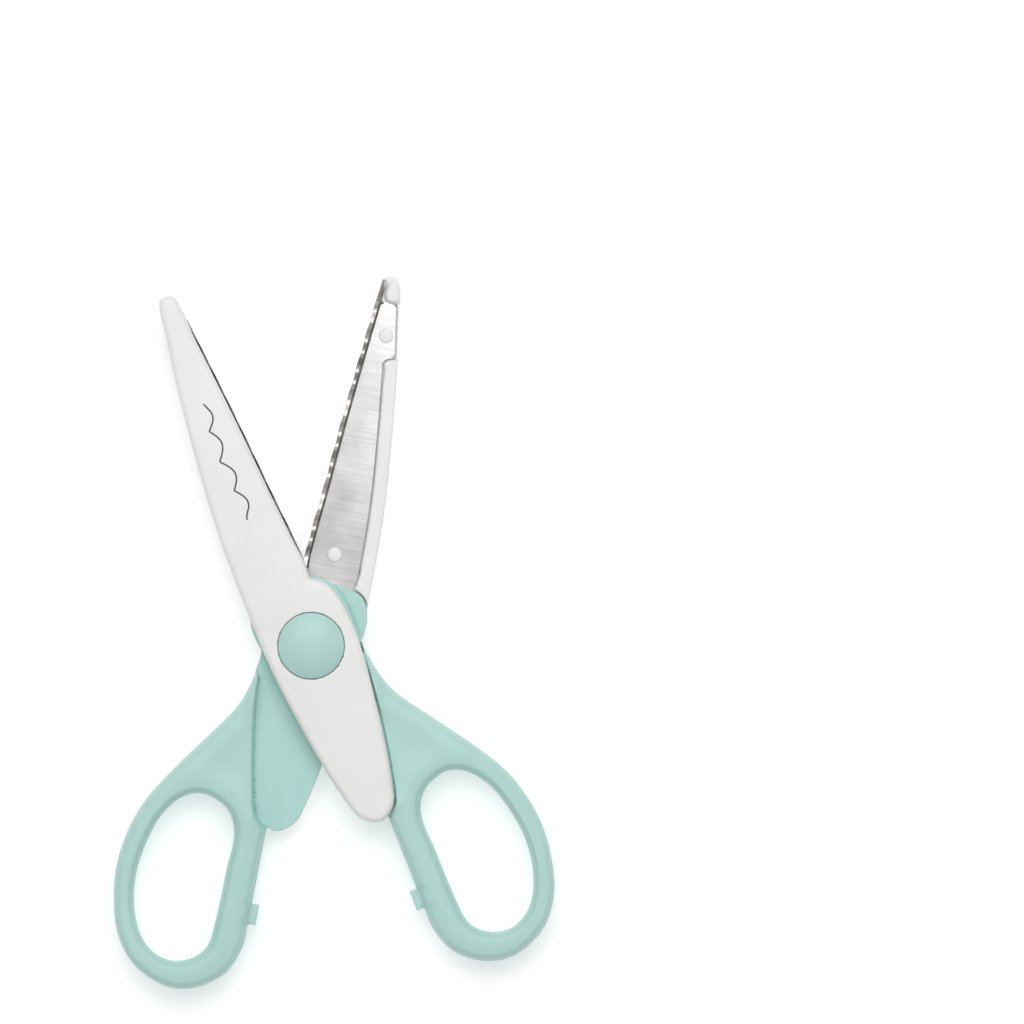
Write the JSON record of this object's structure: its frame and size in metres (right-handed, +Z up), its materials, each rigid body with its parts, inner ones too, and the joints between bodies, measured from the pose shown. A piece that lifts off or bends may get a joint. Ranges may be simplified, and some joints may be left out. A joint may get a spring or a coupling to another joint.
{
  "type": "decorative edge scissors",
  "caption": "Paper scissors with moulded finger loops, white covered blades and corrugated steel strips that cut a wavy edge.",
  "frame": {"origin": "on the pivot axis, in the plane that the scissors lie on", "axes": "+Z up along the pivot axis, +Y from the pivot midway between the open blades towards their tips, +X to the finger loop of the upper half"},
  "size_m": [0.0992, 0.1555, 0.0144],
  "materials": {
    "mint_plastic": "satin moulded mint plastic",
    "white_plastic": "satin moulded white plastic",
    "stainless_blade": "stamped stainless steel with a fine crosswise grain",
    "pivot_steel": "zinc plated steel",
    "washer_plastic": "natural nylon",
    "print_ink": "dark grey printed line"
  },
  "bodies": {
    "lower_half": {"lower_handle": "mint_plastic", "lower_cover": "white_plastic", "lower_blade": "stainless_blade", "lower_rivet_rear": "white_plastic", "lower_rivet_front": "white_plastic", "pivot_screw": "pivot_steel", "pivot_nut": "pivot_steel", "spring_washer": "pivot_steel", "flat_washer": "pivot_steel", "thrust_washer": "washer_plastic", "pivot_cap_lower": "mint_plastic"},
    "upper_half": {"upper_handle": "mint_plastic", "upper_cover": "white_plastic", "upper_blade": "stainless_blade", "upper_rivet_rear": "white_plastic", "upper_rivet_front": "white_plastic", "pivot_cap_upper": "mint_plastic"}
  },
  "joints": [
    {"name": "pivot", "type": "hinge", "parent": "lower_half", "child": "upper_half", "pos_m": [0, 0, 0], "axis": [0, 0, 1], "range_deg": [-32.8, 34]}
  ]
}
